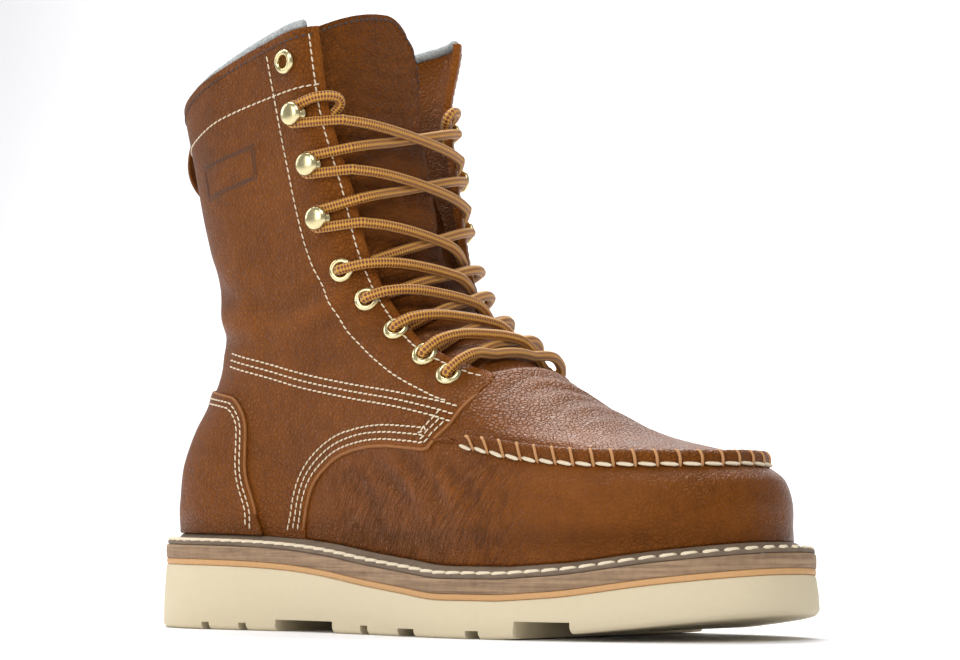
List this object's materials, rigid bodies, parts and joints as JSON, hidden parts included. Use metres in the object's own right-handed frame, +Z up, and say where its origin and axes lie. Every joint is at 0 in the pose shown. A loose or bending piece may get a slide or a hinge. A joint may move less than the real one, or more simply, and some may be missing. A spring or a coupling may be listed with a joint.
{
  "type": "wedge sole work boot",
  "caption": "Right work boot of tan leather, eight inch laced shaft, moc toe, layered cream wedge sole, eyelets and speed hooks.",
  "frame": {"origin": "on the floor, at the middle of the sole's length and width", "axes": "+X to the toe, +Y to the inner side of the right foot, +Z up"},
  "size_m": [0.3044, 0.1125, 0.2375],
  "materials": {
    "leather": "pebbled full grain, waxed",
    "leather_edge": "folded seam and raw edges",
    "lining": "grey lining",
    "insole_leather": "smooth, matt",
    "sole_cream": "matt crepe",
    "sole_honey": "matt",
    "midsole_brown": "matt, fibrous edge",
    "welt_brown": "smooth edge",
    "thread": "waxed thread",
    "brass": "pale, polished",
    "lace": "braided, gold and brown"
  },
  "bodies": {
    "root": {"outsole": "sole_cream", "wedge_layer": "sole_honey", "midsole": "midsole_brown", "welt": "welt_brown", "insole": "insole_leather", "quarters": "leather", "vamp": "leather", "tongue": "leather", "heel_counter": "leather", "moc_seam": "leather_edge", "pull_loop": "leather", "eyelet_outer_1": "brass", "eyelet_outer_2": "brass", "eyelet_outer_3": "brass", "eyelet_outer_4": "brass", "eyelet_outer_5": "brass", "eyelet_outer_6": "brass", "eyelet_inner_1": "brass", "eyelet_inner_2": "brass", "eyelet_inner_3": "brass", "eyelet_inner_4": "brass", "eyelet_inner_5": "brass", "eyelet_inner_6": "brass", "hook_outer_1": "brass", "hook_outer_2": "brass", "hook_outer_3": "brass", "hook_inner_1": "brass", "hook_inner_2": "brass", "hook_inner_3": "brass", "lace_bar": "lace", "lace_cross_1": "lace", "lace_cross_2": "lace", "lace_cross_3": "lace", "lace_cross_4": "lace", "lace_cross_5": "lace", "lace_cross_6": "lace", "lace_cross_7": "lace", "lace_end_outer": "lace", "lace_end_inner": "lace"}
  },
  "joints": []
}
